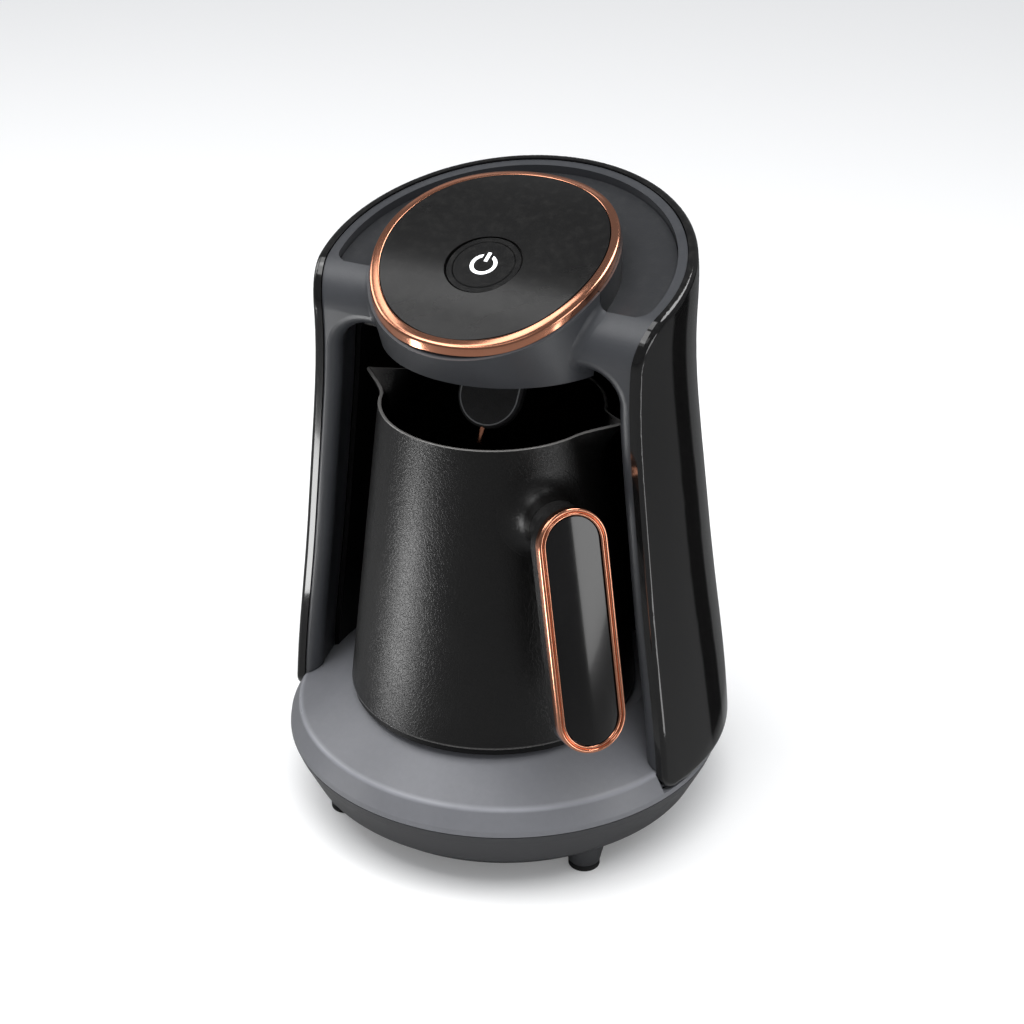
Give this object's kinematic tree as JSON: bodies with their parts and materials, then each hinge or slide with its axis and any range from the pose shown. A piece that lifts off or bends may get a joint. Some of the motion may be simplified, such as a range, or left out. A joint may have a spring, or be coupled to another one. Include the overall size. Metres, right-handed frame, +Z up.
{
  "type": "electric turkish coffee maker",
  "caption": "Countertop Turkish coffee maker with an open bay, a tilted round control head with a power button, a swinging sensor arm and a lift-off pot with a plated handle.",
  "frame": {"origin": "on the floor under the middle of the whole object, between the front of the base and the back of the shell", "axes": "+Z up, the user stands at -Y, +X is the user's right"},
  "size_m": [0.1729, 0.1761, 0.2434],
  "materials": {
    "base_pan": "fine satin moulding, slate grey",
    "foot_front_right": "matte",
    "foot_back_right": "matte",
    "foot_back_left": "matte",
    "foot_front_left": "matte",
    "base_ring": "fine satin moulding, slate grey",
    "pan_screw_a": "machined",
    "pan_screw_b": "machined",
    "pan_screw_c": "machined",
    "base_connector": "black moulding",
    "centre_contact": "polished",
    "ring_contact": "polished",
    "connector_seal": "matte",
    "cord_gland": "matte",
    "rear_shell": "high gloss black",
    "front_frame": "fine satin moulding, slate grey",
    "top_cover": "fine satin moulding, slate grey",
    "bay_liner": "black moulding",
    "head_floor": "black moulding",
    "hinge_pin": "machined",
    "panel_ring": "rose gold plating",
    "top_panel": "satin gloss black",
    "button_bezel": "black moulding",
    "power_button": "satin gloss black",
    "icon_guide": "white, translucent",
    "button_stem": "black moulding",
    "button_spring": "machined",
    "control_board": "green laminate",
    "tact_switch": "black",
    "icon_led": "white, translucent",
    "buzzer": "black",
    "board_screw_left": "machined",
    "board_screw_right": "machined",
    "power_board": "green laminate",
    "power_relay": "blue",
    "transformer": "yellow tape",
    "power_screw_left": "machined",
    "power_screw_right": "machined",
    "sensor_arm": "dark grey, fine texture",
    "sensor_back": "black moulding",
    "probe_pin": "rose gold coated steel",
    "pot_vessel": "satin black non-stick coating",
    "heater_plate": "cast",
    "heating_element": "dull sheath",
    "pot_base_cover": "black moulding",
    "pot_screw_a": "machined",
    "pot_screw_b": "machined",
    "pot_screw_c": "machined",
    "pot_socket": "black moulding",
    "socket_pin": "polished",
    "thermostat": "black",
    "handle_core": "black moulding",
    "handle_ring": "rose gold plating",
    "handle_insert": "high gloss black",
    "handle_screw": "machined"
  },
  "bodies": {
    "machine": {"base_pan": "base_pan", "foot_front_right": "foot_front_right", "foot_back_right": "foot_back_right", "foot_back_left": "foot_back_left", "foot_front_left": "foot_front_left", "base_ring": "base_ring", "pan_screw_a": "pan_screw_a", "pan_screw_b": "pan_screw_b", "pan_screw_c": "pan_screw_c", "base_connector": "base_connector", "centre_contact": "centre_contact", "ring_contact": "ring_contact", "connector_seal": "connector_seal", "cord_gland": "cord_gland", "rear_shell": "rear_shell", "front_frame": "front_frame", "top_cover": "top_cover", "bay_liner": "bay_liner", "head_floor": "head_floor", "hinge_pin": "hinge_pin", "panel_ring": "panel_ring", "top_panel": "top_panel", "button_bezel": "button_bezel", "button_spring": "button_spring", "control_board": "control_board", "tact_switch": "tact_switch", "icon_led": "icon_led", "buzzer": "buzzer", "board_screw_left": "board_screw_left", "board_screw_right": "board_screw_right", "power_board": "power_board", "power_relay": "power_relay", "transformer": "transformer", "power_screw_left": "power_screw_left", "power_screw_right": "power_screw_right"},
    "button": {"power_button": "power_button", "icon_guide": "icon_guide", "button_stem": "button_stem"},
    "arm": {"sensor_arm": "sensor_arm", "sensor_back": "sensor_back", "probe_pin": "probe_pin"},
    "pot": {"pot_vessel": "pot_vessel", "heater_plate": "heater_plate", "heating_element": "heating_element", "pot_base_cover": "pot_base_cover", "pot_screw_a": "pot_screw_a", "pot_screw_b": "pot_screw_b", "pot_screw_c": "pot_screw_c", "pot_socket": "pot_socket", "socket_pin": "socket_pin", "thermostat": "thermostat", "handle_core": "handle_core", "handle_ring": "handle_ring", "handle_insert": "handle_insert", "handle_screw": "handle_screw"}
  },
  "joints": [
    {"name": "power_button_press", "type": "slide", "parent": "machine", "child": "button", "axis": [0, 0.4147, -0.91], "range_m": [0, 0.0015], "stiffness_N_per_m": 600, "springref_m": -0.0015, "deforming": ["button_spring"]},
    {"name": "pot_lift", "type": "slide", "parent": "machine", "child": "pot", "axis": [0, 0, 1], "range_m": [0, 0.011]},
    {"name": "sensor_swing", "type": "hinge", "parent": "machine", "child": "arm", "pos_m": [0, -0.00527, 0.19], "axis": [-1, 0, 0], "range_deg": [0, 51]}
  ]
}
